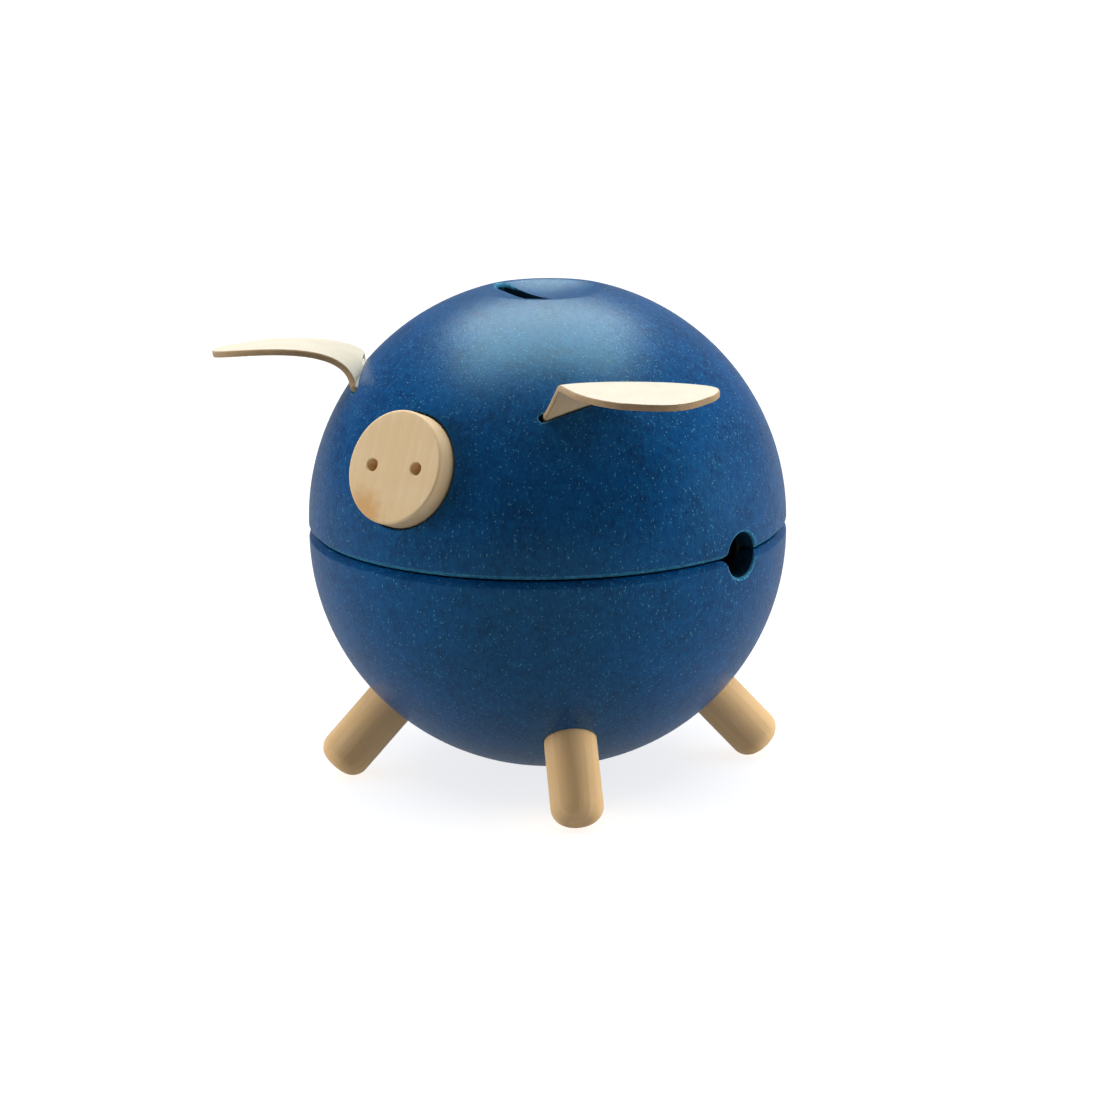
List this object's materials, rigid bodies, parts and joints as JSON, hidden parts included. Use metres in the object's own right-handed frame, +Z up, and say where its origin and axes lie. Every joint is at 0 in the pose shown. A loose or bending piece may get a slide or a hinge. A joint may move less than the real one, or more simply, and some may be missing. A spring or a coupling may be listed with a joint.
{
  "type": "money box",
  "caption": "Pig-shaped ball money box of pressed wood: two halves on a push-fit ring, coin slot in a dish on top, round snout, leather ears and splayed peg legs.",
  "frame": {"origin": "on the standing plane, straight below the ball's axis", "axes": "+Z up along the ball's axis, -Y the way the pig looks, +X the pig's left"},
  "size_m": [0.148, 0.1182, 0.1184],
  "materials": {
    "pressed_wood": "satin dyed pressed wood fibre with pale specks",
    "dowel_wood": "bare beech dowel",
    "ring_black": "black-stained turned wood",
    "snout_wood": "sanded bare wood",
    "leg_wood": "sanded bare wood",
    "leather": "smooth cream top, tan cut edge and flesh side",
    "rubber": "matt"
  },
  "bodies": {
    "lower_half": {"lower_shell": "pressed_wood", "joint_ring": "ring_black", "leg_front_left": "leg_wood", "leg_front_right": "leg_wood", "leg_rear_left": "leg_wood", "leg_rear_right": "leg_wood"},
    "seal": {"seal_ring": "rubber"},
    "upper_half": {"upper_shell": "pressed_wood", "snout_disc": "snout_wood", "snout_dowel": "dowel_wood", "ear_left": "leather", "ear_right": "leather"}
  },
  "joints": [
    {"name": "upper_turn", "type": "hinge", "parent": "lower_half", "child": "seal", "pos_m": [0, 0, 0.0613], "axis": [0, 0, 1], "continuous": true},
    {"name": "upper_lift", "type": "slide", "parent": "seal", "child": "upper_half", "axis": [0, 0, 1], "range_m": [0, 0.07]}
  ]
}
